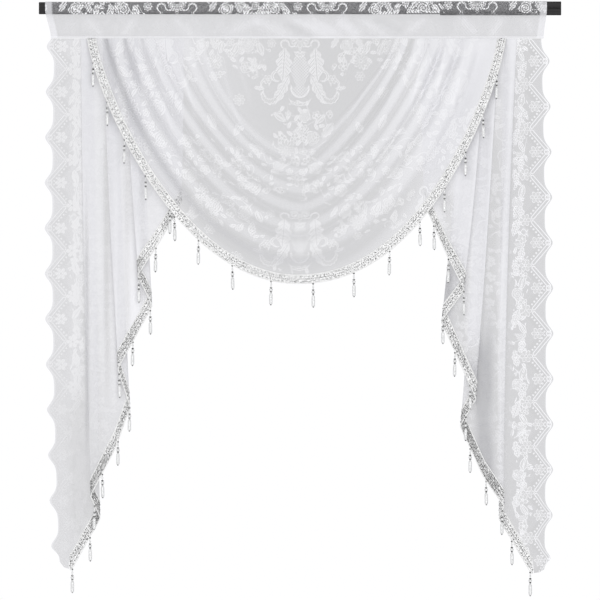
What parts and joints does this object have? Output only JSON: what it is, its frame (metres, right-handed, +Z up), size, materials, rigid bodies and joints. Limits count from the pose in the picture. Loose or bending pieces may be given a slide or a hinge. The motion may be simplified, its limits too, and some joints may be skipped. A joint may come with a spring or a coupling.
{
  "type": "swag and tail drape on a flat curtain rod",
  "caption": "Sheer floral lace swag and tail drape with beaded fringe, gathered on a flat telescopic curtain rod.",
  "frame": {"origin": "middle of the rod's back face", "axes": "+X to the viewer's right along the rod, +Y back to the wall, +Z up"},
  "size_m": [1.253, 0.0907, 1.4291],
  "materials": {
    "lace": "sheer white knitted lace",
    "beaded_braid": "white and silver braid with clear and silver beads",
    "rod_paint": "satin near-black enamel"
  },
  "bodies": {
    "root": {"rod_rail": "rod_paint", "rod_sleeve": "rod_paint", "rod_pocket": "lace", "swag": "lace", "swag_fringe": "beaded_braid", "left_tail": "lace", "left_tail_fringe": "beaded_braid", "right_tail": "lace", "right_tail_fringe": "beaded_braid"}
  },
  "joints": []
}
